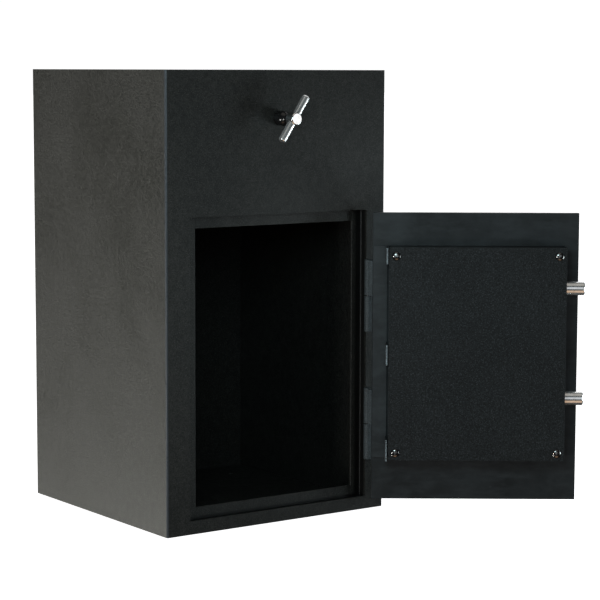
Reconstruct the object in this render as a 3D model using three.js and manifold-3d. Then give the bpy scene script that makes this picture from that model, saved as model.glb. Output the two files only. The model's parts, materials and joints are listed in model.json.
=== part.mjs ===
// Parcel drop box: a welded steel cabinet with a rotary drop drum behind a top slot and a side-hinged
// safe door. Millimetres, +Z up, +X right, front face towards -Y, origin at the middle of the underside.
import * as THREE from "three";
import { mergeVertices } from "three/addons/utils/BufferGeometryUtils.js";
import Module from "manifold-3d";

const wasm = await Module();
wasm.setup();

// ---- Driving dimensions ----
const GAP = 0.3; // clearance kept between pieces that touch
const WIDTH = 356;
const DEPTH = 356;
const HEIGHT = 610;
const SHEET = 4; // body plate thickness
const BEND = 3; // outer radius of the folded front corners
const SIDE = WIDTH / 2;
const FRONT = -DEPTH / 2;
const BACK = DEPTH / 2;
const INSIDE = SIDE - SHEET; // half the clear width between the side walls

const OPENING = { x0: -142, x1: 147, z0: 18, z1: 419 }; // cut in the front plate
const CLEAR = { x0: -123.5, x1: 133, z0: 32.5, z1: 403.5 }; // way in, inside the door stop
const STOP_FACE = FRONT + 15; // front of the door stop's flange
const REVEAL_SET_BACK = 1.7; // the stop's leg stands this far behind the plate's cut edge

const HINGE = { x: 146.5, y: FRONT - 5.8 };
const HINGE_OPEN_DEG = 143.9; // how far the door stands open at rest
const BARREL = { radius: 5.5, length: 49.5, bore: 3.3, floor: 3, pin: 3, between: 1.1 };
const HINGE_HEIGHTS = { lower: 71.6, upper: 250.6 }; // underside of each frame barrel

const DOOR = { x0: -140.4, x1: 141, z0: 19.3, z1: 416.5, y0: FRONT, y1: FRONT + 12.7 };
const COVER = { x0: -121, x1: 119.7, z0: 79.5, z1: 372, thick: 2, corner: 3 };
const COVER_FACE = DOOR.y1 + 33; // outer surface of the bolt cover
const COVER_BACK = COVER_FACE - COVER.thick;
const HOUSING = { wall: 2.7, lip: 20, lipThick: 2.4 };
const SCREW = {
  head: 5.8,
  rise: 3.2,
  shank: 2.5,
  length: 16,
  hands: { left: -110.8, right: 110 },
  z0: 89.5,
  z1: 360,
};
const BRACKET = { gap: 1.6, thick: 2, tabs: [[77.6, 107.2], [210.5, 238.3], [348.8, 371]] };

const BOLT = {
  radius: 9.5,
  clearance: 0.5,
  tip: -146.8,
  end: -87.6,
  y: DOOR.y1 + 16.5,
  heights: { lower: 164, upper: 315.5 },
};
const BOLT_TRAVEL = 28;
const GUIDE = { length: 19, halfHeight: 15 };
const PIN_ORBIT = BOLT_TRAVEL / Math.SQRT2; // the cam's pin turns a quarter, from 45 degrees left to 45 right
const CARRIER = { x0: -87.3, x1: -61.3, z0: 152, z1: 328, thick: 6 };

const TURN = { x: -60, z: 240 }; // axis of the door's T-handle
const LOCK = { x: -60, z: 289 }; // axis of the key lock
const DROP = { x: 0, z: 546 }; // axis of the drop drum and its T-handle
const DRUM = { radius: 57, thick: 2.5, end: 155, disc: 3 };
const SLOT = { x: 41, y: 150 }; // half sizes of the slot in the top plate
const CHEEK = { inner: 60, thick: 2.5, leg: 42.4 };
const BAFFLE = { topX: 45.4, topZ: 501, lowX: 172.5, lowZ: 432, thick: 2.3 };
const ANCHOR = { offset: 120, radius: 7 }; // bolt-down holes in the floor plate
const SHAFT = 6; // radius of both drum shafts and the door spindle
const DROP_BAR_TILT = 34.4; // degrees from upright, top towards +X
const DOOR_BAR_TILT = 90; // level while the bolts are thrown, clear of the keyhole above

// ---- Finishes ----
const FINISH = {
  coat: { color: 0x262728, roughness: 0.62, metalness: 0.15 },
  inner: { color: 0x101112, roughness: 0.8, metalness: 0.1 },
  cover: { color: 0x1d1f21, roughness: 0.85, metalness: 0.1 },
  hinge: { color: 0x3a4146, roughness: 0.55, metalness: 0.5 },
  chrome: { color: 0xd5d8da, roughness: 0.12, metalness: 1 },
  hub: { color: 0x0b0c0d, roughness: 0.2, metalness: 0 },
  zinc: { color: 0x9b9e9f, roughness: 0.42, metalness: 0.85 },
  bronze: { color: 0x9a7438, roughness: 0.4, metalness: 0.9 },
};

// ---- Shape helpers ----
function solidOf(geometry) {
  const bare = geometry.index ? geometry.toNonIndexed() : geometry.clone();
  bare.deleteAttribute("normal");
  bare.deleteAttribute("uv");
  const merged = mergeVertices(bare, 1e-4);
  const vertProperties = merged.attributes.position.array;
  const triVerts = new Uint32Array(merged.index.array);
  return new wasm.Manifold(new wasm.Mesh({ numProp: 3, vertProperties, triVerts }));
}

function geometryOf(solid) {
  const { vertProperties, triVerts } = solid.getMesh();
  const geometry = new THREE.BufferGeometry();
  geometry.setAttribute("position", new THREE.BufferAttribute(vertProperties, 3));
  geometry.setIndex(new THREE.BufferAttribute(triVerts, 1));
  return geometry;
}

function cut(geometry, ...tools) {
  return geometryOf(tools.reduce((left, tool) => left.subtract(solidOf(tool)), solidOf(geometry)));
}

function join(geometry, ...others) {
  return geometryOf(others.reduce((sum, other) => sum.add(solidOf(other)), solidOf(geometry)));
}

function block(x0, x1, y0, y1, z0, z1) {
  const box = new THREE.BoxGeometry(x1 - x0, y1 - y0, z1 - z0);
  return box.translate((x0 + x1) / 2, (y0 + y1) / 2, (z0 + z1) / 2);
}

// A shape drawn in X and Y, standing from z0 to z1.
function prismZ(shape, z0, z1) {
  const options = { depth: z1 - z0, bevelEnabled: false, curveSegments: 6 };
  return new THREE.ExtrudeGeometry(shape, options).translate(0, 0, z0);
}

// A shape drawn in X and Z, lying from y0 to y1.
function prismY(shape, y0, y1, curveSegments = 6) {
  const options = { depth: y1 - y0, bevelEnabled: false, curveSegments };
  return new THREE.ExtrudeGeometry(shape, options).rotateX(Math.PI / 2).translate(0, y1, 0);
}

function rectangle(x0, x1, v0, v1) {
  return new THREE.Shape([[x0, v0], [x1, v0], [x1, v1], [x0, v1]].map(([x, v]) => new THREE.Vector2(x, v)));
}

function roundedRectangle(x0, x1, v0, v1, r) {
  const shape = new THREE.Shape();
  shape.absarc(x0 + r, v0 + r, r, Math.PI, 1.5 * Math.PI);
  shape.absarc(x1 - r, v0 + r, r, 1.5 * Math.PI, 2 * Math.PI);
  shape.absarc(x1 - r, v1 - r, r, 0, 0.5 * Math.PI);
  shape.absarc(x0 + r, v1 - r, r, 0.5 * Math.PI, Math.PI);
  return shape;
}

function withHoles(shape, centres, radius) {
  for (const [x, v] of centres) {
    const hole = new THREE.Path();
    hole.absarc(x, v, radius, 0, 2 * Math.PI);
    shape.holes.push(hole);
  }
  return shape;
}

// A closed outline of [radius, along] points turned about the Y axis through (x, z).
function turnedY(outline, { x, z }, segments = 24) {
  const points = outline.map(([r, along]) => new THREE.Vector2(r, along));
  if (THREE.ShapeUtils.area(points) < 0) points.reverse();
  const open = points[0].x > 0 || points[points.length - 1].x > 0;
  if (open) points.push(points[0].clone());
  return new THREE.LatheGeometry(points, segments).translate(x, 0, z);
}

function turnedZ(outline, { x, y }, segments = 24) {
  return turnedY(outline, { x: 0, z: 0 }, segments).rotateX(Math.PI / 2).translate(x, y, 0);
}

function turnedX(outline, y, z, segments = 24) {
  return turnedY(outline, { x: 0, z: 0 }, segments).rotateZ(-Math.PI / 2).translate(0, y, z);
}

function rodY(radius, y0, y1, centre) {
  return turnedY([[0, y0], [radius, y0], [radius, y1], [0, y1]], centre);
}

function ringY(inner, outer, y0, y1, centre) {
  return turnedY([[inner, y0], [outer, y0], [outer, y1], [inner, y1]], centre);
}

function piece(name, finish, geometry) {
  const mesh = new THREE.Mesh(geometry, new THREE.MeshStandardMaterial(FINISH[finish]));
  mesh.name = name;
  return mesh;
}

// ---- Cabinet shell ----
function wrapOutline() {
  const shape = new THREE.Shape();
  shape.moveTo(-SIDE, BACK);
  shape.lineTo(-SIDE, FRONT + BEND);
  shape.absarc(-SIDE + BEND, FRONT + BEND, BEND, Math.PI, 1.5 * Math.PI);
  shape.absarc(SIDE - BEND, FRONT + BEND, BEND, 1.5 * Math.PI, 2 * Math.PI);
  shape.lineTo(SIDE, BACK);
  shape.lineTo(INSIDE, BACK);
  shape.lineTo(INSIDE, FRONT + SHEET);
  shape.lineTo(-INSIDE, FRONT + SHEET);
  shape.lineTo(-INSIDE, BACK);
  return shape;
}

// Left side, front and right side folded from one plate.
function bodyWrap() {
  const doorway = block(OPENING.x0, OPENING.x1, FRONT - 5, FRONT + SHEET + 5, OPENING.z0, OPENING.z1);
  const bushHole = rodY(BUSH.sleeve + GAP, FRONT - 5, FRONT + SHEET + 5, DROP);
  return piece("body_wrap", "coat", cut(prismZ(wrapOutline(), 0, HEIGHT), doorway, bushHole));
}

function shell() {
  const inset = INSIDE - GAP;
  const front = FRONT + SHEET + GAP;
  const back = BACK - SHEET;
  const { offset, radius } = ANCHOR;
  const anchors = [[-offset, -offset], [offset, -offset], [offset, offset], [-offset, offset]];
  const topShape = rectangle(-inset, inset, front, back - GAP);
  topShape.holes.push(rectangle(-SLOT.x, SLOT.x, -SLOT.y, SLOT.y));
  const floorShape = withHoles(rectangle(-inset, inset, front, back - GAP), anchors, radius);
  return [
    bodyWrap(),
    piece("back_panel", "coat", block(-inset, inset, back, BACK, 0, HEIGHT)),
    piece("top_plate", "coat", prismZ(topShape, HEIGHT - SHEET, HEIGHT)),
    piece("floor_plate", "coat", prismZ(floorShape, 0, SHEET)),
  ];
}

// Four angle sections welded behind the doorway: a leg running back and a flange the door closes on.
function doorStop() {
  const legs = {
    x0: OPENING.x0 - REVEAL_SET_BACK,
    x1: OPENING.x1 + REVEAL_SET_BACK,
    z0: OPENING.z0 - REVEAL_SET_BACK,
    z1: OPENING.z1 + REVEAL_SET_BACK,
  };
  const low = legs.z0 - SHEET;
  const high = legs.z1 + SHEET;
  const y0 = FRONT + SHEET + GAP;
  const y1 = STOP_FACE + SHEET;
  const upright = (name, wall, edge) => {
    const [leg0, leg1] = wall < 0 ? [wall - SHEET, wall] : [wall, wall + SHEET];
    const leg = block(leg0, leg1, y0, y1, low, high);
    const flange = block(Math.min(leg0, edge), Math.max(leg1, edge), STOP_FACE, y1, low, high);
    return piece(name, "coat", join(leg, flange));
  };
  const level = (name, wall, edge, outward) => {
    const [leg0, leg1] = outward < 0 ? [wall - SHEET, wall] : [wall, wall + SHEET];
    const [inner0, inner1] = [CLEAR.x0 + GAP, CLEAR.x1 - GAP];
    const leg = block(legs.x0 + GAP, legs.x1 - GAP, y0, STOP_FACE - GAP, leg0, leg1);
    const flange = block(inner0, inner1, STOP_FACE, y1, Math.min(leg0, edge), Math.max(leg1, edge));
    const corner = block(inner0, inner1, y0, y1, leg0, leg1);
    return piece(name, "coat", join(leg, flange, corner));
  };
  return [
    upright("door_stop_left", legs.x0, CLEAR.x0),
    upright("door_stop_right", legs.x1, CLEAR.x1),
    level("door_stop_bottom", legs.z0, CLEAR.z0, -1),
    level("door_stop_top", legs.z1, CLEAR.z1, 1),
  ];
}

// ---- Fixed parts round the drop drum ----
const BUSH = { bore: SHAFT + GAP, sleeve: 9, flange: 15, thick: 6 };
const REAR_RING = 10; // thickness of the ring that carries the rear shaft
const STOP_BLOCK = { halfWidth: 8, height: 10, reach: 6 };

// Guard plate beside the drum: down from the slot, then round the drum's side.
function cheekShape(sign) {
  const quarter = Math.PI / 4;
  const outer = CHEEK.inner + CHEEK.thick;
  const bend = Math.acos((CHEEK.leg + CHEEK.thick) / outer);
  const arcPoints = (radius, from, to) =>
    Array.from({ length: 13 }, (_, i) => {
      const angle = from + ((to - from) * i) / 12;
      return [radius * Math.cos(angle), DROP.z + radius * Math.sin(angle)];
    });
  const under = HEIGHT - SHEET - GAP;
  const points = [
    [CHEEK.leg, under],
    ...arcPoints(CHEEK.inner, quarter, -quarter),
    ...arcPoints(outer, -quarter, bend),
    [CHEEK.leg + CHEEK.thick, under],
  ];
  return new THREE.Shape(points.map(([x, z]) => new THREE.Vector2(sign * x, z)));
}

// Sloping plate that leads a parcel from the drum down and keeps hands out of the compartment.
function baffleShape(sign) {
  const { topX, topZ, lowX, lowZ, thick } = BAFFLE;
  const points = [[topX, topZ], [lowX, lowZ], [lowX, lowZ - thick], [topX, topZ - thick]];
  return new THREE.Shape(points.map(([x, z]) => new THREE.Vector2(sign * x, z)));
}

function dropGuards() {
  const reach = BACK - SHEET - 2 * GAP;
  return [["left", -1], ["right", 1]].flatMap(([hand, sign]) => [
    piece(`hopper_cheek_${hand}`, "inner", prismY(cheekShape(sign), -reach, reach)),
    piece(`hopper_baffle_${hand}`, "inner", prismY(baffleShape(sign), -reach, reach)),
  ]);
}

// A bush in the front plate, a plummer ring on the back panel and the two blocks that end the turn.
function dropBearings() {
  const plateBack = FRONT + SHEET;
  const bush = [
    [BUSH.bore, FRONT],
    [BUSH.sleeve, FRONT],
    [BUSH.sleeve, plateBack + GAP],
    [BUSH.flange, plateBack + GAP],
    [BUSH.flange, plateBack + BUSH.thick],
    [BUSH.bore, plateBack + BUSH.thick],
  ];
  const stopBlock = (hand, x) => {
    const { halfWidth, height, reach } = STOP_BLOCK;
    const z0 = DROP.z + STOP_PIN.radius + 2 * GAP;
    const solid = block(x - halfWidth, x + halfWidth, plateBack + GAP, -DRUM.end - reach, z0, z0 + height);
    return piece(`hopper_stop_${hand}`, "zinc", solid);
  };
  const panelFace = BACK - SHEET;
  const ring = ringY(BUSH.bore, BUSH.flange, panelFace - REAR_RING, panelFace - GAP, DROP);
  return [
    piece("hopper_front_bearing", "bronze", turnedY(bush, DROP)),
    piece("hopper_rear_bearing", "bronze", ring),
    stopBlock("left", -STOP_PIN.orbit),
    stopBlock("right", STOP_PIN.orbit),
  ];
}

// ---- Drop drum ----
const STOP_PIN = { radius: 4, orbit: 40, length: 8 };
const COLLAR = { radius: 15, thick: 4 }; // flange by which each shaft is fixed to its end disc

// Three quarters of a tube; the open quarter faces up to take a parcel.
function drumShape() {
  const [from, to] = [0.75 * Math.PI, 2.25 * Math.PI];
  const shape = new THREE.Shape();
  shape.absarc(DROP.x, DROP.z, DRUM.radius, from, to);
  shape.absarc(DROP.x, DROP.z, DRUM.radius - DRUM.thick, to, from, true);
  return shape;
}

function drum() {
  const disc = (y0) => rodY(DRUM.radius, y0, y0 + DRUM.disc - GAP, DROP);
  const face = DRUM.end + DRUM.disc + GAP;
  const shaft = (toward, tip) => {
    const collarEnd = toward * (face + COLLAR.thick);
    const outline = [
      [0, toward * face],
      [COLLAR.radius, toward * face],
      [COLLAR.radius, collarEnd],
      [SHAFT, collarEnd],
      [SHAFT, tip],
      [0, tip],
    ];
    return turnedY(outline, DROP);
  };
  const pinCentre = { x: DROP.x + STOP_PIN.orbit, z: DROP.z };
  const stopPin = rodY(STOP_PIN.radius, -face - STOP_PIN.length, -face, pinCentre);
  return [
    piece("hopper_drum", "zinc", prismY(drumShape(), -DRUM.end, DRUM.end, 30)),
    piece("hopper_end_front", "zinc", disc(-DRUM.end - DRUM.disc)),
    piece("hopper_end_rear", "zinc", disc(DRUM.end + GAP)),
    piece("hopper_shaft_front", "zinc", shaft(-1, FRONT - T_HANDLE.shaftIn)),
    piece("hopper_shaft_rear", "zinc", shaft(1, BACK - SHEET - 2)),
    piece("hopper_stop_pin", "zinc", stopPin),
  ];
}

// ---- T-handles: one turns the drum, one throws the door bolts ----
// Distances are out from the face that the handle stands on.
const T_HANDLE = {
  hub: 10,
  shaftIn: 11, // how far the shaft reaches into the hub
  taperStart: 12,
  taperEnd: 21,
  neck: 5,
  neckEnd: 26,
  head: 8.5,
  front: 41,
  bar: 5.5,
  barAt: 34,
  barLength: 70,
};

function tHandle(prefix, centre, tiltDeg) {
  const out = (distance) => FRONT - distance;
  const socketEnd = out(T_HANDLE.shaftIn + 1);
  const hub = [
    [0, socketEnd],
    [SHAFT + GAP, socketEnd],
    [SHAFT + GAP, out(2 * GAP)],
    [T_HANDLE.hub, out(2 * GAP)],
    [T_HANDLE.hub, out(T_HANDLE.taperStart)],
    [T_HANDLE.neck, out(T_HANDLE.taperEnd)],
    [T_HANDLE.neck, out(T_HANDLE.neckEnd - GAP)],
    [0, out(T_HANDLE.neckEnd - GAP)],
  ];
  const head = [
    [0, out(T_HANDLE.neckEnd)],
    [T_HANDLE.head, out(T_HANDLE.neckEnd)],
    [T_HANDLE.head, out(T_HANDLE.front - 1)],
    [T_HANDLE.head - 1, out(T_HANDLE.front)],
    [0, out(T_HANDLE.front)],
  ];
  const half = T_HANDLE.barLength / 2;
  const barOutline = (r) =>
    [[0, -half], [r - 1, -half], [r, 1 - half], [r, half - 1], [r - 1, half], [0, half]];
  const placed = (geometry) =>
    geometry.rotateY(THREE.MathUtils.degToRad(tiltDeg)).translate(centre.x, out(T_HANDLE.barAt), centre.z);
  const atOrigin = { x: 0, y: 0 };
  const bar = placed(turnedZ(barOutline(T_HANDLE.bar), atOrigin));
  const barHole = placed(turnedZ(barOutline(T_HANDLE.bar + GAP), atOrigin));
  return [
    piece(`${prefix}_hub`, "hub", turnedY(hub, centre)),
    piece(`${prefix}_head`, "chrome", cut(turnedY(head, centre), barHole)),
    piece(`${prefix}_bar`, "chrome", bar),
  ];
}

// ---- Lift-off hinges ----
const WELD_TANG = { inner: 0.5, outer: 5.2, reach: 15.8 }; // from the hinge axis, door shut

function barrel(z0, z1, closedEnd) {
  const floor = closedEnd === "bottom" ? z0 + BARREL.floor : z0;
  const roof = closedEnd === "top" ? z1 - BARREL.floor : z1;
  const outer = [[BARREL.radius, z0], [BARREL.radius, z1]];
  const bored = [[BARREL.bore, roof], [BARREL.bore, floor]];
  const outline = [
    ...(closedEnd === "bottom" ? [[0, z0]] : []),
    ...outer,
    ...(closedEnd === "top" ? [[0, z1], [0, roof]] : []),
    ...bored,
    ...(closedEnd === "bottom" ? [[0, floor]] : []),
  ];
  return turnedZ(outline, HINGE);
}

function frameHinge(name, z0) {
  const z1 = z0 + BARREL.length;
  const foot = block(HINGE.x, HINGE.x + BARREL.radius, HINGE.y + BARREL.bore + 1, FRONT - GAP, z0, z1);
  const [washerLow, washerHigh] = [z1 + GAP / 2, z1 + BARREL.between - GAP / 2];
  const washerRim = BARREL.radius - 1.2;
  const { bore, pin: shank } = BARREL;
  const washer = [[bore, washerLow], [washerRim, washerLow], [washerRim, washerHigh], [bore, washerHigh]];
  const pinLow = z0 + BARREL.floor + GAP;
  const pinTop = z1 + BARREL.between + BARREL.length - BARREL.floor - 1;
  const pin = [[0, pinLow], [shank, pinLow], [shank, pinTop - 1], [shank - 1, pinTop], [0, pinTop]];
  return [
    piece(`${name}_hinge_frame_barrel`, "hinge", join(barrel(z0, z1, "bottom"), foot)),
    piece(`${name}_hinge_washer`, "zinc", turnedZ(washer, HINGE)),
    piece(`${name}_hinge_pin`, "zinc", turnedZ(pin, HINGE)),
  ];
}

function doorHinge(name, frameBase) {
  const z0 = frameBase + BARREL.length + BARREL.between;
  const z1 = z0 + BARREL.length;
  const { inner, outer, reach } = WELD_TANG;
  const beside = block(HINGE.x - outer, HINGE.x - inner, HINGE.y + BARREL.bore + 1, HINGE.y + reach, z0, z1);
  return piece(`${name}_hinge_door_barrel`, "hinge", join(barrel(z0, z1, "top"), beside));
}

// ---- Door, drawn shut ----
function doorPlate() {
  const plate = block(DOOR.x0, DOOR.x1, DOOR.y0, DOOR.y1, DOOR.z0, DOOR.z1);
  const spindleHole = rodY(SHAFT + 0.6, DOOR.y0 - 1, DOOR.y1 + 1, TURN);
  const lockHole = rodY(LOCK_PLUG.radius + GAP, DOOR.y0 - 1, DOOR.y1 + 1, LOCK);
  return piece("door_plate", "coat", cut(plate, spindleHole, lockHole));
}

// Angle welded beside the hinges, with three tabs standing up to the cover.
function hingeSideBracket() {
  const foot = DOOR.y1 + GAP;
  const tab0 = COVER.x1 + BRACKET.gap;
  const { thick, tabs } = BRACKET;
  const [[low], [, high]] = [tabs[0], tabs[tabs.length - 1]];
  const strip = block(tab0, DOOR.x1 - 0.5, foot, foot + thick, low, high);
  const tabSolids = tabs.map(([z0, z1]) => block(tab0, tab0 + thick, foot, COVER_FACE, z0, z1));
  return piece("hinge_side_bracket", "coat", join(strip, ...tabSolids));
}

// A rod that cuts a bolt's way through what lies between x0 and x1.
function boltBore(x0, x1, z) {
  const radius = BOLT.radius + BOLT.clearance;
  return turnedX([[0, x0], [radius, x0], [radius, x1], [0, x1]], BOLT.y, z);
}

// Walls of the bolt housing. Top and bottom turn a lip inwards behind the cover for its screws.
function housing() {
  const y0 = DOOR.y1 + GAP;
  const y1 = COVER_BACK - GAP;
  const sideX = COVER.x0 + GAP;
  const x0 = sideX + HOUSING.wall + GAP;
  const x1 = COVER.x1 - GAP;
  const tapped = (z) =>
    Object.values(SCREW.hands).map((x) => rodY(SCREW.shank + GAP, y1 - 10, y1 + 1, { x, z }));
  const channel = (name, edge, inward, screwZ) => {
    const span = (depth) => [edge, edge + inward * depth].sort((a, b) => a - b);
    const wall = block(x0, x1, y0, y1, ...span(HOUSING.wall));
    const lip = block(x0, x1, y1 - HOUSING.lipThick, y1, ...span(HOUSING.lip));
    return piece(name, "cover", cut(join(wall, lip), ...tapped(screwZ)));
  };
  const bolts = Object.values(BOLT.heights).map((z) => boltBore(sideX - 1, x0, z));
  const side = block(sideX, sideX + HOUSING.wall, y0, y1, COVER.z0 + GAP, COVER.z1 - GAP);
  return [
    channel("housing_top", COVER.z1 - GAP, -1, SCREW.z1),
    channel("housing_bottom", COVER.z0 + GAP, 1, SCREW.z0),
    piece("housing_lock_side", "cover", cut(side, ...bolts)),
  ];
}

function boltCover() {
  const screws = Object.values(SCREW.hands).flatMap((x) => [[x, SCREW.z0], [x, SCREW.z1]]);
  const shape = roundedRectangle(COVER.x0, COVER.x1, COVER.z0, COVER.z1, COVER.corner);
  const sheet = withHoles(shape, screws, SCREW.shank + 0.6);
  return piece("bolt_cover", "cover", prismY(sheet, COVER_BACK, COVER_FACE));
}

function coverScrews() {
  const seat = COVER_FACE + GAP;
  const dome = (t) => [SCREW.head * Math.cos(t), seat + 1 + (SCREW.rise - 1) * Math.sin(t)];
  const profile = [
    [0, seat - SCREW.length],
    [SCREW.shank, seat - SCREW.length],
    [SCREW.shank, seat],
    [SCREW.head, seat],
    ...[0, 0.2, 0.4, 0.6, 0.8].map((part) => dome((part * Math.PI) / 2)),
    [0, seat + SCREW.rise],
  ];
  return Object.entries(SCREW.hands).flatMap(([hand, x]) =>
    [["top", SCREW.z1], ["bottom", SCREW.z0]].map(([level, z]) =>
      piece(`cover_screw_${hand}_${level}`, "chrome", turnedY(profile, { x, z }, 16))));
}

// Bored blocks that carry the bolts behind the housing's lock side.
function boltGuide(name, z) {
  const x0 = COVER.x0 + HOUSING.wall + 3 * GAP;
  const x1 = x0 + GUIDE.length;
  const { halfHeight } = GUIDE;
  const body = block(x0, x1, DOOR.y1 + GAP, COVER_BACK - 3 * GAP, z - halfHeight, z + halfHeight);
  return piece(`${name}_bolt_guide`, "zinc", cut(body, boltBore(x0 - 1, x1 + 1, z)));
}

// ---- Key lock: its tongue drops into a notch in the cam's rim ----
const LOCK_PLUG = { radius: 9, proud: 3.6, rear: DOOR.y1 + 9 };
const KEYWAY = { halfWidth: 1.2, halfHeight: 4.5, depth: 14 };
const ESCUTCHEON = { radius: 15, thick: 3 };
const LOCK_CASE = { halfWidth: 22, halfHeight: 15, depth: 12 };
const TONGUE = { halfWidth: 5, rimGap: 1 };
const CAM = { radius: 25, face: DOOR.y1 + 5, notch: 6, pin: 3 };

function lockParts() {
  const { radius } = LOCK_PLUG;
  const { halfWidth, halfHeight, depth } = LOCK_CASE;
  const front = DOOR.y1 + GAP;
  const [left, right] = [LOCK.x - halfWidth, LOCK.x + halfWidth];
  const caseBox = block(left, right, front, front + depth, LOCK.z - halfHeight, LOCK.z + halfHeight);
  const bore = rodY(radius + GAP, front - 1, front + depth + 1, LOCK);
  const tongueLow = TURN.z + CAM.radius + TONGUE.rimGap;
  const tongueHigh = LOCK.z - halfHeight - GAP;
  const [tongueLeft, tongueRight] = [LOCK.x - TONGUE.halfWidth, LOCK.x + TONGUE.halfWidth];
  const tongue = block(tongueLeft, tongueRight, front + GAP, CAM.face, tongueLow, tongueHigh);
  const escutcheon = ringY(radius + GAP, ESCUTCHEON.radius, FRONT - ESCUTCHEON.thick, FRONT - GAP, LOCK);
  return [
    piece("lock_escutcheon", "chrome", escutcheon),
    piece("lock_case", "zinc", cut(caseBox, bore)),
    piece("lock_tongue", "bronze", tongue),
  ];
}

function lockPlug() {
  const face = FRONT - LOCK_PLUG.proud;
  const { halfWidth, halfHeight, depth } = KEYWAY;
  const [left, right] = [LOCK.x - halfWidth, LOCK.x + halfWidth];
  const keyway = block(left, right, face - 1, face + depth, LOCK.z - halfHeight, LOCK.z + halfHeight);
  return piece("lock_plug", "bronze", cut(rodY(LOCK_PLUG.radius, face, LOCK_PLUG.rear, LOCK), keyway));
}

// ---- Bolt work ----
function spindleAndCam() {
  const offset = PIN_ORBIT / Math.SQRT2;
  const pinCentre = { x: TURN.x - offset, z: TURN.z + offset };
  const disc = ringY(SHAFT + GAP, CAM.radius, DOOR.y1 + 0.5, CAM.face, TURN);
  const halfNotch = TONGUE.halfWidth + 0.5;
  const rim = TURN.z + CAM.radius;
  const [left, right] = [TURN.x - halfNotch, TURN.x + halfNotch];
  const notch = block(left, right, DOOR.y1, CAM.face + 1, rim - CAM.notch, rim + 1);
  return [
    piece("door_handle_spindle", "zinc", rodY(SHAFT, FRONT - T_HANDLE.shaftIn, CAM.face + 2, TURN)),
    piece("handle_cam", "zinc", cut(disc, notch)),
    piece("cam_pin", "zinc", rodY(CAM.pin, CAM.face + GAP, BOLT.y + CARRIER.thick / 2 + 4, pinCentre)),
  ];
}

function boltWork() {
  const { radius, tip, end } = BOLT;
  const outline = [[0, tip], [radius - 1, tip], [radius, tip + 1], [radius, end], [0, end]];
  const bolt = (z) => turnedX(outline, BOLT.y, z);
  const half = CARRIER.thick / 2;
  const slotX = TURN.x - PIN_ORBIT / Math.SQRT2;
  const bar = block(CARRIER.x0, CARRIER.x1, BOLT.y - half, BOLT.y + half, CARRIER.z0, CARRIER.z1);
  const halfSlot = CAM.pin + 1;
  const [slotLow, slotHigh] = [TURN.z + 10, TURN.z + 24]; // takes the pin over its whole quarter turn
  const [front, rear] = [BOLT.y - half - 1, BOLT.y + half + 1];
  const slot = block(slotX - halfSlot, slotX + halfSlot, front, rear, slotLow, slotHigh);
  return [
    piece("lower_bolt", "chrome", bolt(BOLT.heights.lower)),
    piece("upper_bolt", "chrome", bolt(BOLT.heights.upper)),
    piece("bolt_carrier", "zinc", cut(bar, slot)),
  ];
}

// ---- Assembly ----
const cabinet = new THREE.Group();
cabinet.add(...shell(), ...doorStop(), ...dropGuards(), ...dropBearings());
cabinet.add(...Object.entries(HINGE_HEIGHTS).flatMap(([name, z]) => frameHinge(name, z)));

const hopper = new THREE.Group();
hopper.add(...drum(), ...tHandle("drop_handle", DROP, DROP_BAR_TILT));

const doorParts = new THREE.Group();
doorParts.position.set(-HINGE.x, -HINGE.y, 0);
doorParts.add(doorPlate(), hingeSideBracket(), ...housing(), boltCover(), ...coverScrews());
doorParts.add(...Object.entries(HINGE_HEIGHTS).map(([name, z]) => doorHinge(name, z)));
doorParts.add(...Object.entries(BOLT.heights).map(([name, z]) => boltGuide(name, z)));
doorParts.add(...lockParts(), lockPlug(), ...boltWork());
doorParts.add(...tHandle("door_handle", TURN, DOOR_BAR_TILT), ...spindleAndCam());

const door = new THREE.Group();
door.position.set(HINGE.x, HINGE.y, 0);
door.rotation.z = THREE.MathUtils.degToRad(HINGE_OPEN_DEG);
door.add(doorParts);

const parcelDropBox = new THREE.Group();
parcelDropBox.add(cabinet, hopper, door);

export default parcelDropBox;
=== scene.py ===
"""Parcel drop box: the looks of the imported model, built round its CAD bodies. Metres, +Z up.

Door parts are drawn with the door shut and then turned to where it stands at rest (SHUT_TO_REST).
"""

import json
import math

import bmesh
import bpy
from mathutils import Matrix, Vector


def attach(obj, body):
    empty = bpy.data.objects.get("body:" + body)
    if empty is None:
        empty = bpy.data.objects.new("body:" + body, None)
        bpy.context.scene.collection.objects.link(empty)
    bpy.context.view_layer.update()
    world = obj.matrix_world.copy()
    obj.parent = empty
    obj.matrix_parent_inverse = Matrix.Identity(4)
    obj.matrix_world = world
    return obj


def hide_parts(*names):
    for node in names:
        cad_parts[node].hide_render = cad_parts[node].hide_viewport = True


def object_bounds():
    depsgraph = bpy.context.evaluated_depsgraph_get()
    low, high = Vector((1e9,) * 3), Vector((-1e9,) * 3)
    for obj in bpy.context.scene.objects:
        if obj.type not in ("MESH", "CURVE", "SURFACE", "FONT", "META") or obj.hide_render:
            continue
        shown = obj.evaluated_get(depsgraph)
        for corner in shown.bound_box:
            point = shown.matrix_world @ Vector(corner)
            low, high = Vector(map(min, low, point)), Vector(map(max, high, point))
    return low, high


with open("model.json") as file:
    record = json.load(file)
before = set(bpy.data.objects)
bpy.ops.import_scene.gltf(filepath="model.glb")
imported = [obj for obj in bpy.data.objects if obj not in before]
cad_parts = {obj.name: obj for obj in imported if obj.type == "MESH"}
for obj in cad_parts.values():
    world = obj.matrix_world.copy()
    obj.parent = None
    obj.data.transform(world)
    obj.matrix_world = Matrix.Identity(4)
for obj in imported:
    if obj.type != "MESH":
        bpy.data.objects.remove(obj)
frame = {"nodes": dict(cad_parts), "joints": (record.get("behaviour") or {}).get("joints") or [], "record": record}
cad_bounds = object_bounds()

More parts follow.
